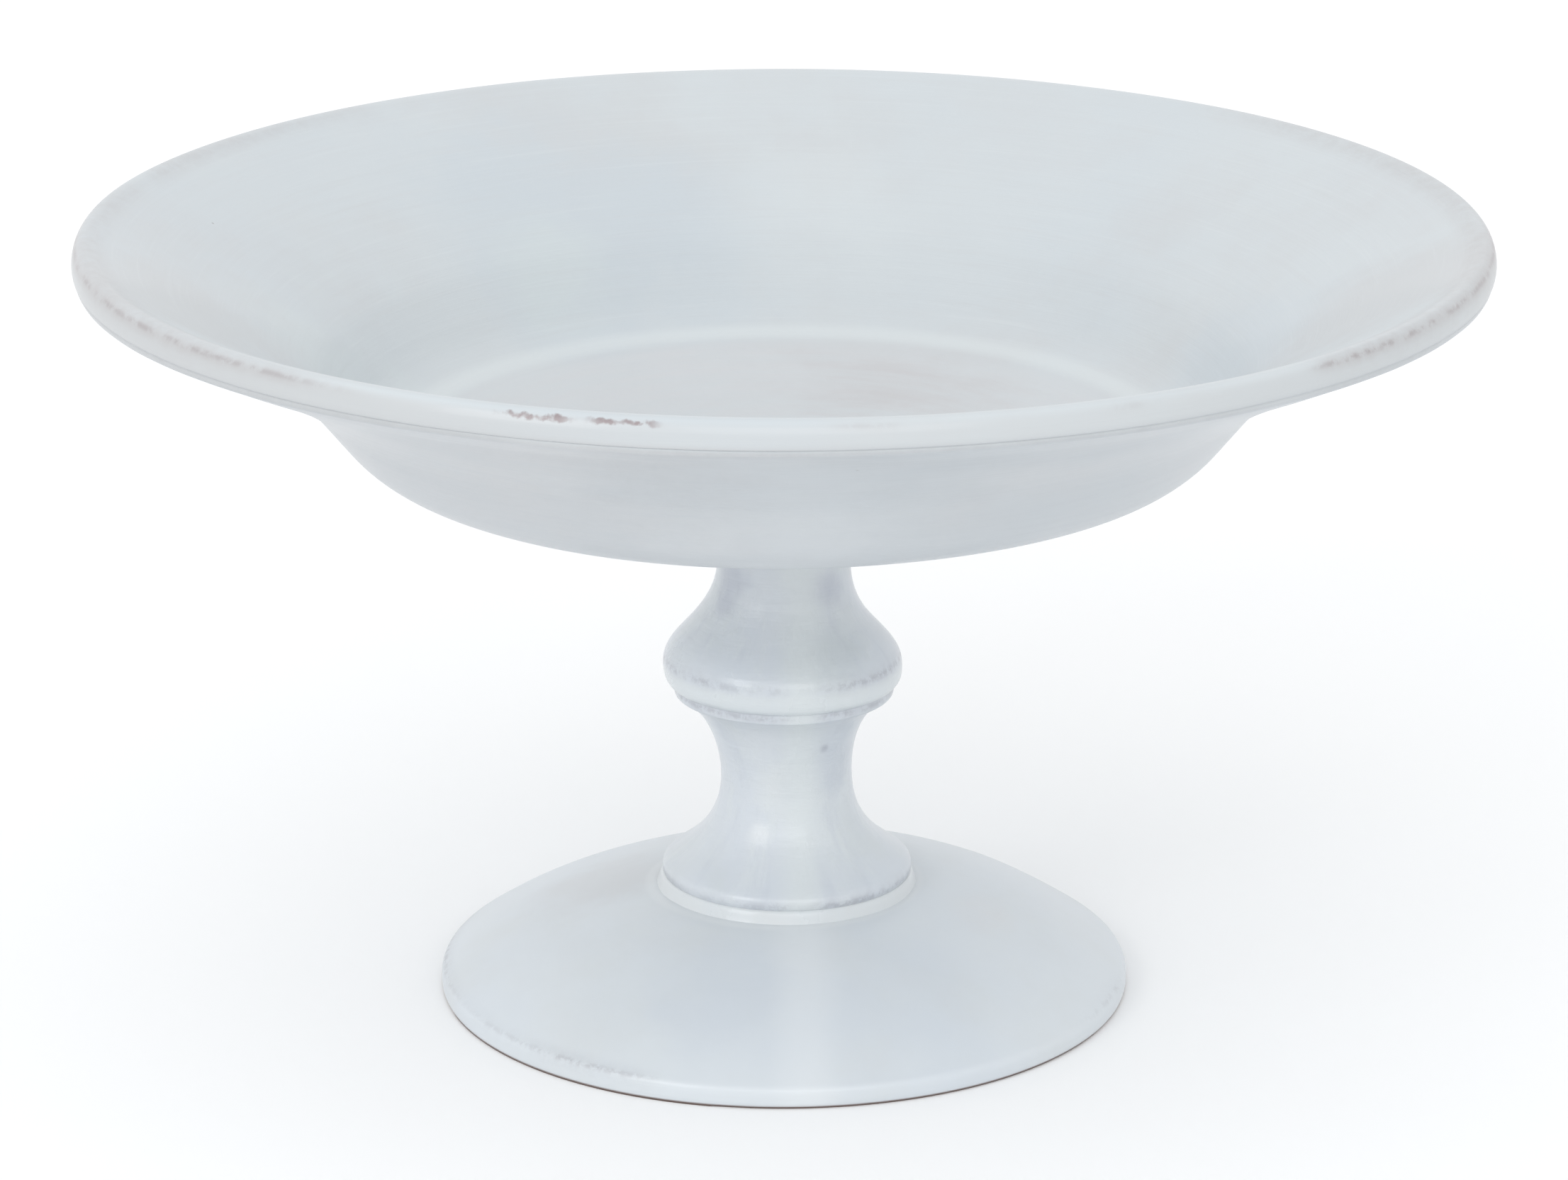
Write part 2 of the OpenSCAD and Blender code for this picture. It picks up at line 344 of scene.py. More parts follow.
# A line on the form where the glaze ran thin: a sharp broken core in a soft halo.
thin_line, enter, leave = new_group(
    "thin_line",
    [("Place", VECTOR, None), ("Distance", FLOAT, 1.0), ("Core", FLOAT, 0.6),
     ("Halo", FLOAT, 3.0), ("Breaks", FLOAT, 180.0), ("Cover", FLOAT, 0.5)],
    [("Core", FLOAT), ("Halo", FLOAT)])
chips = put(thin_line, "ShaderNodeTexNoise", (2, 1))
feed(thin_line, chips.inputs["Vector"], enter.outputs["Place"])
feed(thin_line, chips.inputs["Scale"], enter.outputs["Breaks"])
chips.inputs["Detail"].default_value = 4.0
chips.inputs["Roughness"].default_value = 0.7
long_gaps = put(thin_line, "ShaderNodeTexNoise", (2, 3))
feed(thin_line, long_gaps.inputs["Vector"], enter.outputs["Place"])
long_gaps.inputs["Scale"].default_value = 16.0
long_gaps.inputs["Detail"].default_value = 2.0
core_near = smooth_step(thin_line, (3, 0), enter.outputs["Distance"],
                        enter.outputs["Core"], 0.0)
halo_near = smooth_step(thin_line, (3, 2), enter.outputs["Distance"],
                        enter.outputs["Halo"], 0.0)
chance = maths(thin_line, "SUBTRACT", (4, 3), 1.0, enter.outputs["Cover"])
gap_low = maths(thin_line, "MULTIPLY_ADD", (5, 3), chance, 0.5, 0.22)
gap_high = maths(thin_line, "ADD", (6, 3), gap_low, 0.2)
kept = smooth_step(thin_line, (7, 3), long_gaps.outputs["Fac"], gap_low, gap_high)
specks = smooth_step(thin_line, (5, 1), chips.outputs["Fac"], 0.42, 0.58)
core_mask = maths(thin_line, "MULTIPLY", (8, 0), core_near, specks)
core_mask = maths(thin_line, "MULTIPLY", (9, 0), core_mask, kept)
haze = smooth_step(thin_line, (5, 2), chips.outputs["Fac"], 0.25, 0.75, 0.35, 1.0)
halo_mask = maths(thin_line, "MULTIPLY", (8, 2), halo_near, haze)
halo_mask = maths(thin_line, "MULTIPLY", (9, 2), halo_mask, kept)
feed(thin_line, leave.inputs["Core"], core_mask)
feed(thin_line, leave.inputs["Halo"], halo_mask)

# Pinholes: a few tiny pits where gas came through the glaze.
pinholes, enter, leave = new_group(
    "pinholes",
    [("Place", VECTOR, None), ("Cells", FLOAT, 90.0), ("Size", FLOAT, 0.05),
     ("Share", FLOAT, 0.03)],
    [("Pits", FLOAT)])
cells = put(pinholes, "ShaderNodeTexVoronoi", (2, 0))
feed(pinholes, cells.inputs["Vector"], enter.outputs["Place"])
feed(pinholes, cells.inputs["Scale"], enter.outputs["Cells"])
pit = smooth_step(pinholes, (4, 0), cells.outputs["Distance"], enter.outputs["Size"], 0.0)
pick = put(pinholes, "ShaderNodeSeparateColor", (4, 1))
feed(pinholes, pick.inputs[0], cells.outputs["Color"])
chosen = maths(pinholes, "LESS_THAN", (5, 1), pick.outputs[0], enter.outputs["Share"])
feed(pinholes, leave.inputs["Pits"], maths(pinholes, "MULTIPLY", (6, 0), pit, chosen))

# A soft ragged patch of another tone, round a centre.
soft_spot, enter, leave = new_group(
    "soft_spot",
    [("Place", VECTOR, None), ("Centre", VECTOR, None), ("Reach", FLOAT, 30.0),
     ("Ragged", FLOAT, 0.5)],
    [("Mask", FLOAT)])
away = put(soft_spot, "ShaderNodeVectorMath", (1, 0), operation="DISTANCE")
feed(soft_spot, away.inputs[0], enter.outputs["Place"])
feed(soft_spot, away.inputs[1], enter.outputs["Centre"])
away_mm = maths(soft_spot, "MULTIPLY", (2, 0), away.outputs["Value"], 1000.0)
shore = put(soft_spot, "ShaderNodeTexNoise", (1, 2))
feed(soft_spot, shore.inputs["Vector"], enter.outputs["Place"])
shore.inputs["Scale"].default_value = 28.0
shore.inputs["Detail"].default_value = 4.0
shore.inputs["Roughness"].default_value = 0.65
push = maths(soft_spot, "SUBTRACT", (2, 2), shore.outputs["Fac"], 0.5)
push = maths(soft_spot, "MULTIPLY", (3, 2), push, enter.outputs["Ragged"])
push = maths(soft_spot, "MULTIPLY", (4, 2), push, enter.outputs["Reach"])
away_mm = maths(soft_spot, "MULTIPLY_ADD", (5, 0), push, 4.0, away_mm)
inner = maths(soft_spot, "MULTIPLY", (5, 1), enter.outputs["Reach"], 0.2)
feed(soft_spot, leave.inputs["Mask"],
     smooth_step(soft_spot, (7, 0), away_mm, enter.outputs["Reach"], inner))

MILK = (0.565, 0.602, 0.622, 1)
BLUE = (0.525, 0.575, 0.612, 1)
WARM = (0.530, 0.540, 0.550, 1)
HAZE = (0.400, 0.372, 0.372, 1)
CLAY = (0.150, 0.100, 0.085, 1)
POOL = (0.645, 0.685, 0.695, 1)
SMUDGE_AND_SHADE = (0.340, 0.350, 0.390, 1)


def use_group(tree, group, spot, **sources):
    """Place a group in a material; names use _ for spaces."""
    made = put(tree, "ShaderNodeGroup", spot, node_tree=group)
    for name, source in sources.items():
        feed(tree, made.inputs[name.replace("_", " ")], source)
    return made


def start_glaze(name):
    """A new glaze with its surface shader and the place of each point."""
    material = bpy.data.materials.new(name)
    material.use_nodes = True
    tree = material.node_tree
    tree.nodes.clear()
    surface = put(tree, "ShaderNodeBsdfPrincipled", (22, 0))
    out = put(tree, "ShaderNodeOutputMaterial", (24, 0))
    tree.links.new(surface.outputs[0], out.inputs[0])
    surface.inputs["Specular IOR Level"].default_value = 0.5
    surface.inputs["Coat Weight"].default_value = 0.25
    surface.inputs["Coat Roughness"].default_value = 0.12
    here = put(tree, "ShaderNodeTexCoord", (0, 0)).outputs["Object"]
    place = use_group(tree, turned_place, (1, 0), Place=here)
    return material, tree, surface, here, place


def wheel(tree, place, spot, around, up, out, shift, fine=3.0):
    made = use_group(tree, wheel_streaks, spot, Radius=place.outputs["Radius"],
                     Height=place.outputs["Height"], Round=place.outputs["Round"],
                     Steps_round=around, Steps_up=up, Steps_out=out, Shift=shift, Fine=fine)
    return made.outputs[0]


def ring_distance(tree, place, spot, radius, height):
    """Distance in mm from a circle round the axis."""
    x, y = spot
    dr = maths(tree, "SUBTRACT", (x, y), place.outputs["Radius"], radius)
    dz = maths(tree, "SUBTRACT", (x, y + 1), place.outputs["Height"], height)
    dr = maths(tree, "MULTIPLY", (x + 1, y), dr, dr)
    total = maths(tree, "MULTIPLY_ADD", (x + 2, y), dz, dz, dr)
    return maths(tree, "SQRT", (x + 3, y), total)


def spot_mask(tree, here, spot, centre, size, ragged=0.5):
    """A soft_spot mask with its centre in mm."""
    centre = tuple(c * MM for c in centre)
    return use_group(tree, soft_spot, spot, Place=here, Centre=centre, Reach=size,
                     Ragged=ragged).outputs[0]


def span(tree, value, spot, middle, half, soft):
    """A mask that is 1 within half of the middle and fades over soft."""
    off = maths(tree, "SUBTRACT", spot, value, middle)
    off = maths(tree, "ABSOLUTE", (spot[0] + 1, spot[1]), off)
    return smooth_step(tree, (spot[0] + 2, spot[1]), off, half + soft, half)


def lay_spots(tree, here, colour, spots, column, row, ragged=0.5):
    """Lay soft patches over a glaze: each is a centre in mm, a size, a tone and a share."""
    for i, (centre, size, tone, share) in enumerate(spots):
        mask = spot_mask(tree, here, (4, 20 + 2 * i), centre, size, ragged)
        mask = maths(tree, "MULTIPLY", (6, 20 + 2 * i), mask, share)
        colour = blend(tree, (column + i, row), mask, colour, tone)
    return colour


WORN_CLAY = (0.300, 0.255, 0.262, 1)
bowl_glaze, tree, surface, here, place = start_glaze("bowl_glaze")
clouds = use_group(tree, milky_clouds, (3, 0), Place=here, Milk=MILK, Blue=BLUE, Warm=WARM,
                   Patch=11.0, Blue_share=0.45, Warm_share=0.5, Shift=3.1)
colour = clouds.outputs["Colour"]
# Bluish and warm clouds where the glaze was poured thicker and thinner.
patches = [((-48, 98, 152), 52, BLUE, 0.7), ((98, 2, 142), 40, BLUE, 0.6),
           ((-92, 6, 142), 40, (0.575, 0.630, 0.640, 1), 0.6),
           ((-132, -40, 166), 48, WARM, 0.7), ((136, -30, 166), 46, WARM, 0.7),
           ((10, 112, 156), 30, POOL, 0.2), ((60, 128, 165), 40, MILK, 0.5),
           ((-58, 88, 140), 22, (0.600, 0.650, 0.640, 1), 0.35)]
colour = lay_spots(tree, here, colour, patches, 6, 0)
brush = wheel(tree, place, (3, 2), 4.0, 0.5, 0.35, 0.0, 4.0)
brush_mask = smooth_step(tree, (5, 2), brush, 0.48, 0.8, 0.0, 0.22)
colour = blend(tree, (14, 0), brush_mask, colour, WARM)
light_lines = smooth_step(tree, (5, 3), wheel(tree, place, (3, 3), 3.0, 0.8, 0.6, 9.0, 4.0),
                          0.52, 0.8, 0.0, 0.2)
colour = blend(tree, (15, 0), light_lines, colour, POOL)
# The floor of the well, browner where the glaze drained off it.
normal_z = put(tree, "ShaderNodeSeparateXYZ", (2, 6))
feed(tree, normal_z.inputs[0], put(tree, "ShaderNodeNewGeometry", (1, 6)).outputs["Normal"])
above = smooth_step(tree, (3, 6), normal_z.outputs[2], 0.2, 0.5)
inside_well = smooth_step(tree, (5, 5), place.outputs["Radius"], 84.0, 74.0)
floor_mask = maths(tree, "MULTIPLY", (6, 5), inside_well, above)
floor_rings = smooth_step(tree, (5, 7), wheel(tree, place, (3, 7), 2.0, 0.0, 0.22, 4.0, 5.0),
                          0.3, 0.7, 0.3, 0.8)
floor_mask = maths(tree, "MULTIPLY", (7, 5), floor_mask, floor_rings)
colour = blend(tree, (16, 0), floor_mask, colour, (0.575, 0.585, 0.600, 1))
stain = maths(tree, "MULTIPLY", (7, 7), floor_mask,
              spot_mask(tree, here, (6, 7), (26, 52, 126), 36, 0.6))
colour = blend(tree, (17, 0), stain, colour, (0.520, 0.515, 0.525, 1))
# A pale bead of pooled glaze where the floor turns up.
pool_gap = ring_distance(tree, place, (4, 9), 84, bowl_base + 24.4)
pool_mask = smooth_step(tree, (8, 9), pool_gap, 5.0, 0.5, 0.0, 0.6)
colour = blend(tree, (18, 0), pool_mask, colour, POOL)
# Underneath, the glaze is thinner and greyer.
below = smooth_step(tree, (3, 8), normal_z.outputs[2], 0.0, -0.4)
under_tone = blend(tree, (17, 2), smooth_step(tree, (16, 2), clouds.outputs["Thick"], 0.4, 0.65),
                   (0.505, 0.540, 0.568, 1), (0.515, 0.532, 0.550, 1))
under_lines = smooth_step(tree, (16, 3), brush, 0.4, 0.75, 0.0, 0.5)
under_tone = blend(tree, (18, 2), under_lines, under_tone, (0.480, 0.510, 0.540, 1))
# Painted shade: the left part of the underside is darkened.
shaded_side = smooth_step(tree, (16, 6), place.outputs["Across"], -50.0, -115.0, 0.0, 0.8)
under_tone = blend(tree, (18, 6), shaded_side, under_tone, (0.435, 0.460, 0.485, 1))
# Painted light: the front middle of the underside is lightened.
middle = spot_mask(tree, here, (12, 20), (0, -118, 122), 70, 0.3)
under_tone = blend(tree, (18, 7), maths(tree, "MULTIPLY", (17, 7), middle, 0.6), under_tone,
                   (0.590, 0.625, 0.650, 1))
colour = blend(tree, (19, 0), below, colour, under_tone)
# The outer face of the lip is thinner glazed than the flare above it.
level = maths(tree, "ABSOLUTE", (5, 10), normal_z.outputs[2])
lip_face = maths(tree, "MULTIPLY", (7, 10), smooth_step(tree, (6, 10), level, 0.75, 0.35),
                 smooth_step(tree, (6, 12), place.outputs["Radius"], 151.5, 153.5))
to_left = smooth_step(tree, (6, 14), place.outputs["Across"], 0.0, -90.0, 0.45, 0.85)
colour = blend(tree, (20, 2), maths(tree, "MULTIPLY", (8, 10), lip_face, to_left), colour,
               (0.490, 0.505, 0.515, 1))
# The worn line along the outer top edge of the lip: bare clay in two places at the front,
# a brown smear towards both sides, and only a faint trace between.
lip_gap = ring_distance(tree, place, (4, 11), rim_r - 1.2, bowl_base + bowl_h - 1.5)
to_side = maths(tree, "ABSOLUTE", (5, 13), place.outputs["Across"])
to_side = smooth_step(tree, (6, 13), to_side, 76.0, 132.0)
cover = maths(tree, "MULTIPLY_ADD", (7, 13), to_side, 0.85, 0.25)
lip_worn = use_group(tree, thin_line, (9, 11), Place=here, Distance=lip_gap, Core=1.0,
                     Halo=2.4, Breaks=170.0, Cover=cover)
smear_gap = ring_distance(tree, place, (4, 15), rim_r - 3.4, bowl_base + bowl_h - 1.6)
smear = use_group(tree, thin_line, (9, 15), Place=here, Distance=smear_gap, Core=1.0,
                  Halo=6.5, Breaks=300.0, Cover=cover)
smear = maths(tree, "MULTIPLY", (10, 15), smear.outputs["Halo"], to_side)
colour = blend(tree, (20, 0), maths(tree, "MULTIPLY", (11, 15), smear, 0.42), colour, HAZE)
halo = maths(tree, "MULTIPLY", (10, 11), lip_worn.outputs["Halo"], 0.6)
colour = blend(tree, (21, 0), halo, colour, HAZE)
core = maths(tree, "MULTIPLY", (11, 12), lip_worn.outputs["Core"], 0.65)
colour = blend(tree, (22, 0), core, colour, (0.300, 0.265, 0.275, 1))
front = smooth_step(tree, (5, 17), place.outputs["Towards"], 100.0, 120.0)
chip_noise = put(tree, "ShaderNodeTexNoise", (5, 18))
feed(tree, chip_noise.inputs["Vector"], here)
chip_noise.inputs["Scale"].default_value = 420.0
chip_noise.inputs["Detail"].default_value = 3.0
ragged_gap = maths(tree, "MULTIPLY_ADD", (6, 18), chip_noise.outputs["Fac"], 2.6, lip_gap)
near_edge = smooth_step(tree, (7, 18), ragged_gap, 2.1, 1.5)
for i, (middle, half) in enumerate(((-48.5, 4.4), (-31.2, 4.0))):
    bare = span(tree, place.outputs["Across"], (8, 18 + i), middle, half, 4.5)
    bare = maths(tree, "MULTIPLY", (11, 18 + i), bare, near_edge)
    bare = maths(tree, "MULTIPLY", (12, 18 + i), bare, front)
    colour = blend(tree, (23 + i, 0), bare, colour, WORN_CLAY)
# Painted shade: a dark hairline in the crease under the lip.
under_lip_shade_gap = ring_distance(tree, place, (4, 25), rim_r - 0.7, bowl_base + bowl_h - 6.8)
under_lip_shade = use_group(tree, thin_line, (9, 25), Place=here, Distance=under_lip_shade_gap, Core=0.7,
                   Halo=1.5, Breaks=260.0, Cover=0.8)
colour = blend(tree, (29, 0), maths(tree, "MULTIPLY", (10, 25), under_lip_shade.outputs["Halo"], 0.2),
               colour, (0.250, 0.255, 0.275, 1))
pits = use_group(tree, pinholes, (9, 27), Place=here, Cells=70.0, Size=0.035,
                 Share=0.05).outputs[0]
colour = blend(tree, (30, 0), maths(tree, "MULTIPLY", (10, 27), pits, 0.7), colour, CLAY)
feed(tree, surface.inputs["Base Color"], colour)
rough = smooth_step(tree, (14, 3), clouds.outputs["Thick"], 0.3, 0.7, 0.44, 0.34)
feed(tree, surface.inputs["Roughness"], rough)
ripple = wheel(tree, place, (14, 5), 1.5, 0.3, 0.2, 21.0, 3.0)
skin = put(tree, "ShaderNodeTexNoise", (14, 6))
feed(tree, skin.inputs["Vector"], here)
skin.inputs["Scale"].default_value = 260.0
skin.inputs["Detail"].default_value = 2.0
relief = maths(tree, "MULTIPLY_ADD", (16, 5), skin.outputs["Fac"], 0.1, ripple)
relief = maths(tree, "SUBTRACT", (17, 5), relief, pits)
bump = put(tree, "ShaderNodeBump", (18, 4))
bump.inputs["Strength"].default_value = 0.45
bump.inputs["Distance"].default_value = 0.0003
feed(tree, bump.inputs["Height"], relief)
feed(tree, surface.inputs["Normal"], bump.outputs[0])
bowl.data.materials.append(bowl_glaze)

# ---------------------------------------------------------------- the knop
# The upper stem, thrown hollow: it sits on the crease, swells to a rounded knop and
# draws in to the slender neck that carries the bowl.
knop_low, knop_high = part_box("knop")
knop_base = knop_low.z / MM
knop_h = knop_high.z / MM - knop_base
belly_z = knop_h * 0.155
neck_z = knop_h * 0.9
knop_outline = (
    [(14.8, 0), (19, 0), (23.6, 0)]
    + bend((24.6, 0.15), reach((24.6, 0), 25, 2), (26.8, belly_z - knop_h * 0.09),
           (26.8, belly_z), 7)
    + bend((26.8, belly_z), (26.8, belly_z + knop_h * 0.21), (14.8, neck_z - knop_h * 0.44),
           (14.8, neck_z), 14)
    + [(14.8, knop_h - 1), (14.8, knop_h - 0.3), (14.4, knop_h), (11, knop_h), (7.5, knop_h)]
    + bend((7.5, neck_z), (7.5, neck_z - knop_h * 0.4), (14.8, belly_z + knop_h * 0.3),
           (14.8, belly_z), 8)
    + [(14.8, 0)])
knop = thrown("knop_thrown", knop_outline, 96, knop_base)
smoothed(knop, 1)
hand_wobble(knop, 0.03, 0.0003)
# Its widest turn leans a little to one side.
nudge(knop, lambda at: abs(at.z - knop_base - 13) < 2.5, (-0.6, 0, 0), 14)
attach(knop, "root")
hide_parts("knop")

STEM = (0.610, 0.645, 0.680, 1)
stem_glaze, tree, surface, here, place = start_glaze("stem_glaze")
clouds = use_group(tree, milky_clouds, (3, 0), Place=here, Milk=STEM, Blue=(0.590, 0.635, 0.685, 1),
                   Warm=(0.590, 0.630, 0.635, 1), Patch=30.0, Blue_share=0.7,
                   Warm_share=0.5, Shift=8.4)
runs = smooth_step(tree, (5, 2), wheel(tree, place, (3, 2), 3.2, 0.11, 0.03, 2.0, 5.0),
                   0.48, 0.66, 0.0, 0.4)
colour = blend(tree, (7, 0), runs, clouds.outputs["Colour"], POOL)
dark_runs = smooth_step(tree, (5, 3), wheel(tree, place, (3, 3), 4.6, 0.1, 0.04, 5.0, 5.0),
                        0.5, 0.68, 0.0, 0.35)
colour = blend(tree, (8, 0), dark_runs, colour, (0.530, 0.565, 0.620, 1))
# The glaze drained off the widest turn of the knop and gathered in a pale belt below.
belt = maths(tree, "MULTIPLY",
             (7, 5), smooth_step(tree, (5, 5), place.outputs["Height"], 70.9, 72.4),
             smooth_step(tree, (5, 6), place.outputs["Height"], 77.2, 75.4))
belt_breaks = smooth_step(tree, (7, 6), clouds.outputs["Thick"], 0.35, 0.6, 0.35, 0.65)
belt = maths(tree, "MULTIPLY", (8, 5), belt, belt_breaks)
colour = blend(tree, (9, 0), belt, colour, POOL)
# Smudged lines run round above the belt and on the collar; the line in the crease is painted
# shade under the knop. Each has its height, core, halo, breaks and cover, then how strongly the
# halo and the core show.
WORN_AND_SHADED_LINES = ((77.6, 1.3, 3.4, 300.0, 1.05, 0.3, 0.5),
              # the crease line: painted shade under the knop's belly
              (70.5, 1.1, 2.4, 380.0, 1.1, 0.4, 0.4),
              (27.4, 1.5, 3.2, 420.0, 0.75, 0.3, 0.4))
for i, (height, core, halo, breaks, cover, soft, sharp) in enumerate(WORN_AND_SHADED_LINES):
    row = 8 + 2 * i
    gap = maths(tree, "SUBTRACT", (5, row), place.outputs["Height"], height)
    gap = maths(tree, "ABSOLUTE", (6, row), gap)
    worn_and_shaded = use_group(tree, thin_line, (9, row), Place=here, Distance=gap, Core=core,
                     Halo=halo, Breaks=breaks, Cover=cover)
    smudge_and_shade = maths(tree, "MULTIPLY", (10, row), worn_and_shaded.outputs["Halo"], soft)
    colour = blend(tree, (11 + 2 * i, 0), smudge_and_shade, colour, SMUDGE_AND_SHADE)
    smudge_and_shade = maths(tree, "MULTIPLY", (10, row + 1), worn_and_shaded.outputs["Core"], sharp)
    colour = blend(tree, (12 + 2 * i, 0), smudge_and_shade, colour, SMUDGE_AND_SHADE)
# Marks of the glaze brush: dark ones on the neck, a greenish pool on the knop and pale
# ones down the waist; also painted shade on the right of the waist and two painted reflections
# of the lamps on its front.
NECK_BRUSH = (0.430, 0.455, 0.530, 1)
LAMP_REFLECTION_TONE = (0.690, 0.710, 0.715, 1)
brush_marks_and_painted_light = [((-11.3, -10, 98), 6, NECK_BRUSH, 0.5),
         ((-11.8, -10, 92), 5, NECK_BRUSH, 0.45),
         ((6, -14, 97), 6, NECK_BRUSH, 0.45),
         ((11, -11, 97), 7, NECK_BRUSH, 0.5),
         ((11, -22, 85), 13, (0.560, 0.605, 0.605, 1), 0.4),
         ((-4, -16, 64), 9, (0.640, 0.670, 0.695, 1), 0.4),
         ((1.5, -16, 52), 8, (0.660, 0.690, 0.690, 1), 0.5),
         # painted shade: a darker patch on the right side of the waist
         ((11, -13, 56), 11, (0.520, 0.560, 0.615, 1), 0.6),
         # painted reflections of the lamps: two pale spots on the front of the waist
         ((-7.5, -20, 41), 5, LAMP_REFLECTION_TONE, 0.7),
         ((6.3, -20, 40.5), 4, LAMP_REFLECTION_TONE, 0.6),
         ((9, -14, 60), 1.8, (0.350, 0.370, 0.430, 1), 0.7)]
colour = lay_spots(tree, here, colour, brush_marks_and_painted_light, 18, 2, 0.7)
# A painted highlight: a pale vertical stripe down the front.
front = smooth_step(tree, (5, 14), place.outputs["Towards"], 4.0, 12.0)
highlight_stripe = span(tree, place.outputs["Across"], (6, 14), 4.0, 0.6, 6.5)
highlight_stripe = maths(tree, "MULTIPLY", (9, 14), highlight_stripe, front)
colour = blend(tree, (17, 0), maths(tree, "MULTIPLY", (10, 14), highlight_stripe, 0.8), colour, POOL)
feed(tree, surface.inputs["Base Color"], colour)
rough = smooth_step(tree, (14, 3), clouds.outputs["Thick"], 0.3, 0.7, 0.36, 0.26)
feed(tree, surface.inputs["Roughness"], rough)
ripple = wheel(tree, place, (14, 5), 1.0, 0.5, 0.1, 13.0, 3.0)
relief = maths(tree, "ADD", (16, 5), runs, ripple)
bump = put(tree, "ShaderNodeBump", (18, 4))
bump.inputs["Strength"].default_value = 0.45
bump.inputs["Distance"].default_value = 0.0004
feed(tree, bump.inputs["Height"], relief)
feed(tree, surface.inputs["Normal"], bump.outputs[0])
knop.data.materials.append(stem_glaze)

# ---------------------------------------------------------------- the lower stem
# A hollow thrown tube: a rounded collar at the bottom, a slender waist, and a small
# flange on top that the knop sits on.
stem_low, stem_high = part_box("lower_stem")
stem_base = stem_low.z / MM
stem_h = stem_high.z / MM - stem_base
waist_z = stem_h * 0.55
throat = (19.5, stem_h - 4.4)
collar = [(25.12 + 3.08 * math.cos(math.radians(turn)), 2.8 + 2.8 * math.sin(math.radians(turn)))
          for turn in range(-70, 56, 14)]
stem_outline = (
    [(7.5, 0.17), (16, 0.17), (23, 0.17)]
    + collar
    + bend(collar[-1], reach(collar[-1], 145, 7), (14.7, waist_z - stem_h * 0.25),
           (14.7, waist_z), 12)
    + bend((14.7, waist_z), (14.7, waist_z + stem_h * 0.11), reach(throat, 231, 5.6), throat, 9)
    + bend(throat, reach(throat, 46, 2.2), reach((24.6, stem_h), 222, 2), (24.6, stem_h), 5)
    + [(24, stem_h), (19, stem_h), (14.8, stem_h)]
    + bend((14.8, stem_h - 1.5), (14.8, stem_h - 5), (7.5, throat[1]), (7.5, throat[1] - 6), 6)
    + [(7.5, waist_z), (7.5, 0.17)])
lower_stem = thrown("lower_stem_thrown", stem_outline, 96, stem_base)
smoothed(lower_stem, 1)
hand_wobble(lower_stem, 0.03, 0.0003)
# The collar was luted on a touch off the axis.
nudge(lower_stem, lambda at: at.z < stem_base + 22, (0.65, 0, 0), 22)
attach(lower_stem, "root")
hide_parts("lower_stem")
lower_stem.data.materials.append(stem_glaze)

# ---------------------------------------------------------------- the foot
# A low cone thrown upside down, hollow underneath, that stands on a narrow flat ring
# of bare clay. Its edge is wiped, so a speckled brown line shows there.
foot_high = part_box("foot")[1]
foot_r = foot_high.x / MM
foot_h = foot_high.z / MM
foot_crest = (foot_r - 2.2 + 2.2 * math.cos(math.radians(70)),
              3.2 + 2.2 * math.sin(math.radians(70)))
foot_seat = (29.6, foot_h)
swell = ((foot_crest[0] + foot_seat[0]) / 2 + 4.48, (foot_crest[1] + foot_seat[1]) / 2 + 4.48)
hollow_edge = (foot_r - 8.6, 3.4)
foot_outline = (
    [(7.5, foot_h), (16, foot_h), (24, foot_h), (28.8, foot_h)]
    + bend(foot_seat, [(f + 2 * w) / 3 for f, w in zip(foot_seat, swell)],
           [(f + 2 * w) / 3 for f, w in zip(foot_crest, swell)], foot_crest, 14)
    + [(foot_r - 2.2 + 2.2 * math.cos(math.radians(turn)),
        3.2 + 2.2 * math.sin(math.radians(turn))) for turn in (50, 25, 0)]
    + [(foot_r, 2), (foot_r, 1.1), (foot_r - 0.3, 0.35), (foot_r - 1.1, 0), (foot_r - 2.2, 0),
       (foot_r - 5.6, 0), (foot_r - 6.6, 0), (foot_r - 7.1, 0.8)]
    + bend(hollow_edge, (hollow_edge[0] - 16, hollow_edge[1] + 7.5), (30.5, 17.3), (16.5, 17.3), 9)
    + [(11, 17.3), (8.3, 17.3), (7.5, 17.7), (7.5, foot_h)])
foot = thrown("foot_thrown", foot_outline, 120)
smoothed(foot, 1)
hand_wobble(foot, 0.06, 0.0004)
nudge(foot, lambda at: at.xy.length < 46, (0.8, 0, 0), 30)
# Its top dried a little higher at the back right than at the back left.
nudge(foot, lambda at: at.x > 22 and -8 < at.y < 40 and 38 < at.xy.length < 60, (0, 0, 0.45), 16)
nudge(foot, lambda at: at.x < -22 and -8 < at.y < 40 and 33 < at.xy.length < 48,
      (0, 0, -0.4), 14)
# It was set down wet, so its ring stands flat on the table.
bpy.ops.object.mode_set(mode="EDIT")
bpy.ops.mesh.select_all(action="DESELECT")
bpy.ops.object.mode_set(mode="OBJECT")
for point in foot.data.vertices:
    point.select = point.co.z < 0.4 * MM
bpy.ops.object.mode_set(mode="EDIT")
bpy.ops.transform.resize(value=(1, 1, 0), center_override=(0, 0, 0))
bpy.ops.object.mode_set(mode="OBJECT")
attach(foot, "root")
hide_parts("foot")

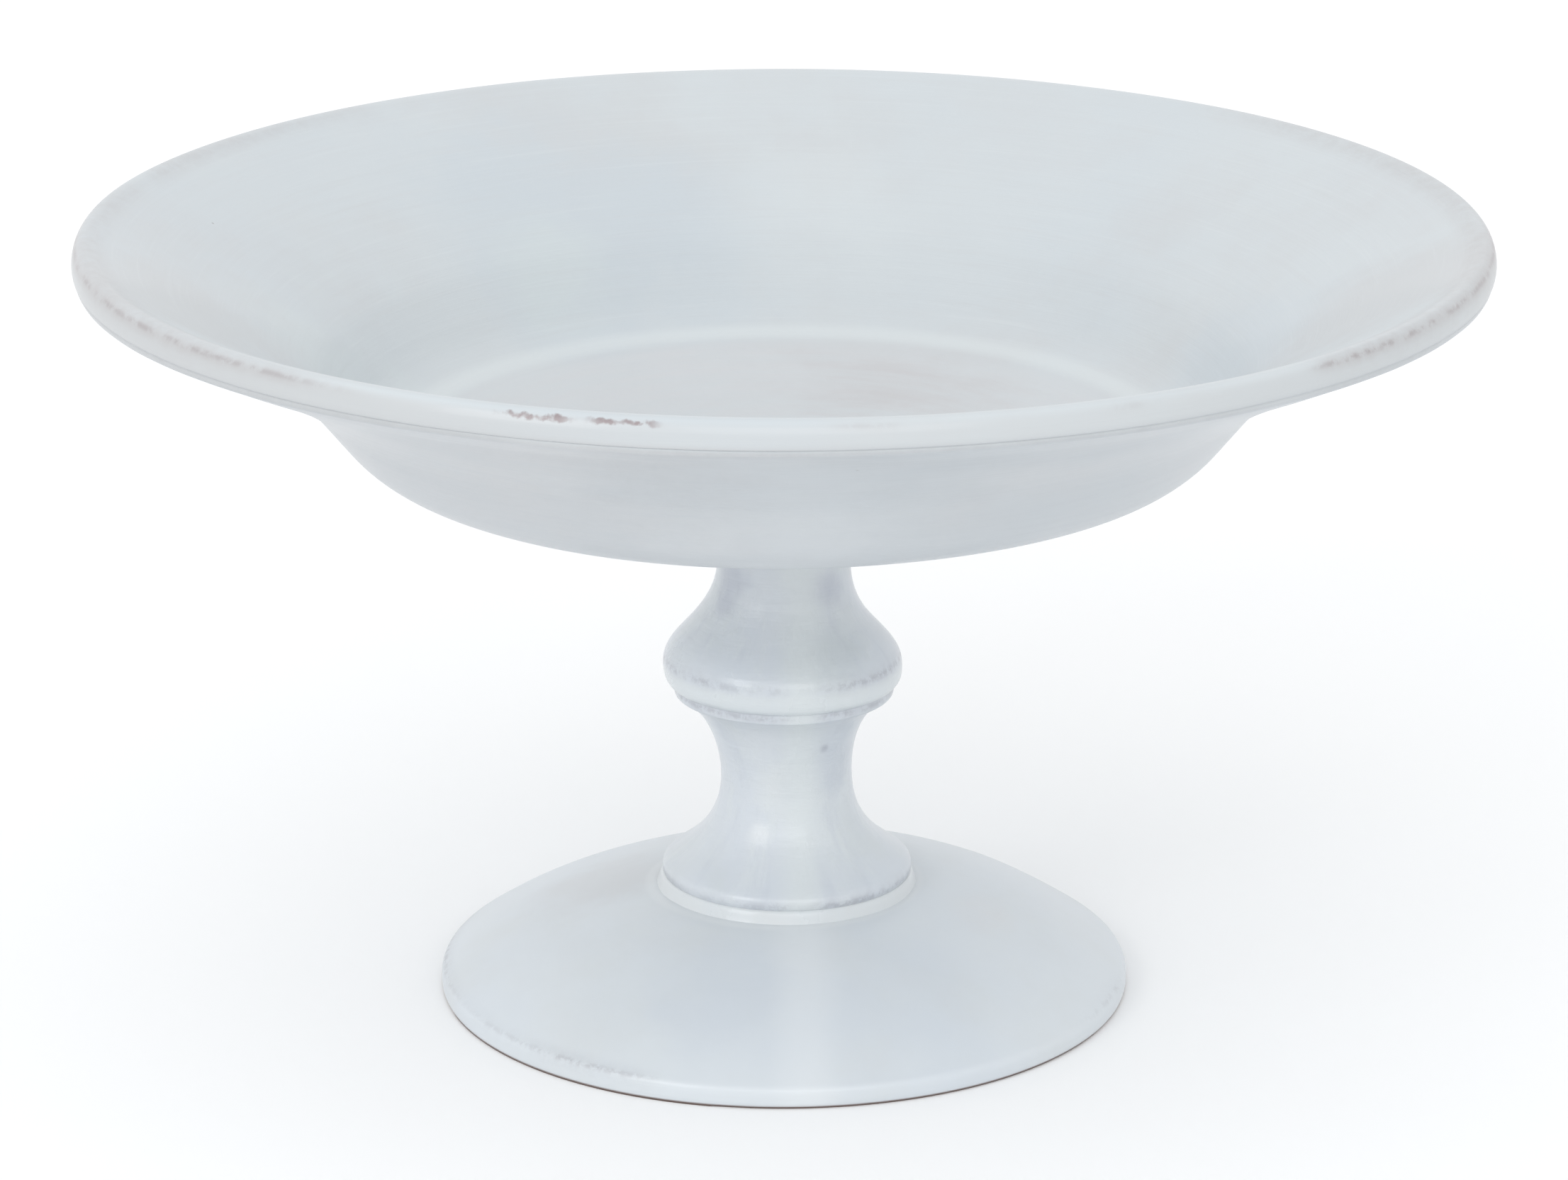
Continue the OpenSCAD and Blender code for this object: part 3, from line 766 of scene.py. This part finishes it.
foot_glaze, tree, surface, here, place = start_glaze("foot_glaze")
clouds = use_group(tree, milky_clouds, (3, 0), Place=here, Milk=(0.640, 0.680, 0.710, 1),
                   Blue=(0.590, 0.640, 0.700, 1), Warm=(0.600, 0.625, 0.630, 1), Patch=16.0,
                   Blue_share=0.5, Warm_share=0.4, Shift=5.2)
colour = clouds.outputs["Colour"]
patches = [((-9, -48, 14), 24, (0.580, 0.625, 0.675, 1), 0.5),
           ((-40, 8, 16), 22, (0.580, 0.590, 0.600, 1), 0.6),
           ((44, -14, 14), 14, (0.640, 0.640, 0.640, 1), 0.6)]
colour = lay_spots(tree, here, colour, patches, 5, 0)
brush = wheel(tree, place, (3, 2), 2.4, 0.3, 0.25, 0.0, 4.0)
brush_mask = smooth_step(tree, (5, 2), brush, 0.48, 0.8, 0.0, 0.25)
colour = blend(tree, (8, 0), brush_mask, colour, POOL)
# The same painted highlight stripe, from the collar down to the edge.
front = smooth_step(tree, (5, 14), place.outputs["Towards"], 16.0, 28.0)
highlight_stripe = span(tree, place.outputs["Across"], (6, 14), 4.6, 1.0, 9.0)
highlight_stripe = maths(tree, "MULTIPLY", (9, 14), highlight_stripe, front)
colour = blend(tree, (10, 0), maths(tree, "MULTIPLY", (10, 14), highlight_stripe, 0.45), colour,
               (0.730, 0.760, 0.780, 1))
ring_gap = ring_distance(tree, place, (4, 16), 30.2, 23.4)
ring_mask = smooth_step(tree, (8, 16), ring_gap, 2.0, 0.4, 0.0, 0.4)
colour = blend(tree, (11, 0), ring_mask, colour, (0.720, 0.745, 0.755, 1))
edge_gap = ring_distance(tree, place, (4, 5), foot_r - 0.9, 4.6)
left_more = smooth_step(tree, (5, 9), place.outputs["Across"], 10.0, -30.0)
edge_cover = maths(tree, "MULTIPLY_ADD", (6, 9), left_more, 0.4, 0.35)
edge_worn = use_group(tree, thin_line, (9, 5), Place=here, Distance=edge_gap, Core=1.1,
                      Halo=3.6, Breaks=480.0, Cover=edge_cover)
halo = maths(tree, "MULTIPLY", (10, 5), edge_worn.outputs["Halo"], 0.25)
colour = blend(tree, (12, 0), halo, colour, SMUDGE_AND_SHADE)
core = maths(tree, "MULTIPLY", (10, 6), edge_worn.outputs["Core"], 0.3)
colour = blend(tree, (13, 0), core, colour, (0.250, 0.230, 0.250, 1))
bare = smooth_step(tree, (10, 8), place.outputs["Height"], 0.9, 0.3)
colour = blend(tree, (14, 0), bare, colour, CLAY)
feed(tree, surface.inputs["Base Color"], colour)
rough = smooth_step(tree, (14, 3), clouds.outputs["Thick"], 0.3, 0.7, 0.42, 0.32)
feed(tree, surface.inputs["Roughness"], rough)
ripple = wheel(tree, place, (14, 5), 1.5, 0.35, 0.25, 21.0, 3.0)
bump = put(tree, "ShaderNodeBump", (18, 4))
bump.inputs["Strength"].default_value = 0.45
bump.inputs["Distance"].default_value = 0.0003
feed(tree, bump.inputs["Height"], ripple)
feed(tree, surface.inputs["Normal"], bump.outputs[0])
foot.data.materials.append(foot_glaze)

# ---------------------------------------------------------------- the slip joints
# Liquid clay that holds the thrown pieces together. It squeezes out as a thin bead
# and takes the glaze, so it shows as a paler ring.
slip_glaze, tree, surface, here, place = start_glaze("slip_glaze")
clouds = use_group(tree, milky_clouds, (3, 0), Place=here, Milk=(0.640, 0.670, 0.685, 1),
                   Blue=(0.610, 0.650, 0.675, 1), Warm=(0.615, 0.630, 0.635, 1), Patch=60.0,
                   Blue_share=0.5, Warm_share=0.5, Shift=1.7)
feed(tree, surface.inputs["Base Color"], clouds.outputs["Colour"])
rough = smooth_step(tree, (14, 3), clouds.outputs["Thick"], 0.3, 0.7, 0.4, 0.25)
feed(tree, surface.inputs["Roughness"], rough)


def slip_ring(name, node, outline, glaze, aside):
    """A thin disc of slip between two faces, wiped smooth with a finger at its edge."""
    low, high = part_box(node)
    piece = thrown(name, outline, 96, low.z / MM)
    smoothed(piece, 1)
    nudge(piece, lambda at: True, (aside, 0, 0))
    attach(piece, "root")
    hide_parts(node)
    piece.data.materials.append(glaze)
    return piece


slip_ring("neck_slip", "bowl_joint_slip",
          [(0, 0), (8, 0), (14, -0.1), (15.1, -0.2), (15.5, 0.3), (15.8, 0.9), (16.1, 1.5),
           (15.4, 1.4), (14, 1.2), (8, 1.2), (0, 1.2)], stem_glaze, 0)
slip_ring("crease_slip", "stem_joint_slip",
          [(14.8, 0), (20, 0), (23, -0.5), (24.2, -1.0), (24.55, -0.7), (24.68, 0),
           (24.7, 0.6), (24.68, 1.2), (24.6, 1.9), (24.3, 2.3), (23, 1.7), (20, 1.2),
           (14.8, 1.2), (14.8, 0)], stem_glaze, 0)
slip_ring("collar_slip", "foot_joint_slip",
          [(7.5, 0), (18, 0), (26.5, -0.2), (28.4, -0.5), (29.6, -0.75), (29.4, -0.3),
           (29.1, 0.4), (28.8, 1.2), (28.5, 2.1), (28.0, 3.0), (27.3, 2.7), (24, 1.3),
           (18, 1.2), (7.5, 1.2), (7.5, 0)], slip_glaze, 0.65)

# ---------------------------------------------------------------- the table and the light
# A plain pale floor under an even white sky, with one wide soft panel from the upper
# left and a wide soft fill from the front.
bpy.ops.object.select_all(action="DESELECT")
bpy.ops.mesh.primitive_plane_add(size=24, location=(0, 0, 0))
table_top = bpy.context.object
table_top.name = "pale_floor"
pale = bpy.data.materials.new("pale_floor")
pale.use_nodes = True
pale.node_tree.nodes["Principled BSDF"].inputs["Base Color"].default_value = (0.96, 0.96, 0.96, 1)
pale.node_tree.nodes["Principled BSDF"].inputs["Roughness"].default_value = 0.9
pale.node_tree.nodes["Principled BSDF"].inputs["Specular IOR Level"].default_value = 0.1
table_top.data.materials.append(pale)

sky = bpy.data.worlds.new("soft_sky")
sky.use_nodes = True
sky.node_tree.nodes["Background"].inputs[0].default_value = (0.98, 0.99, 1.0, 1)
sky.node_tree.nodes["Background"].inputs[1].default_value = 1.04
bpy.context.scene.world = sky


def soft_panel(name, size, spot, aim, power):
    """A rectangular lamp at a spot, turned to face its aim."""
    lamp = bpy.data.lights.new(name, "AREA")
    lamp.shape = "RECTANGLE"
    lamp.size, lamp.size_y = size
    lamp.energy = power
    stand = bpy.data.objects.new(name, lamp)
    stand.location = spot
    stand.rotation_euler = (Vector(aim) - Vector(spot)).to_track_quat("-Z", "Y").to_euler()
    bpy.context.scene.collection.objects.link(stand)
    return stand


soft_panel("key_panel", (1.2, 1.2), (-1.7, -1.9, 1.5), (0, 0, 0.06), 13.0)
soft_panel("front_fill", (2.0, 1.0), (0.3, -2.4, 1.5), (0, 0, 0.04), 9.0)

bpy.context.scene.view_settings.view_transform = "Standard"
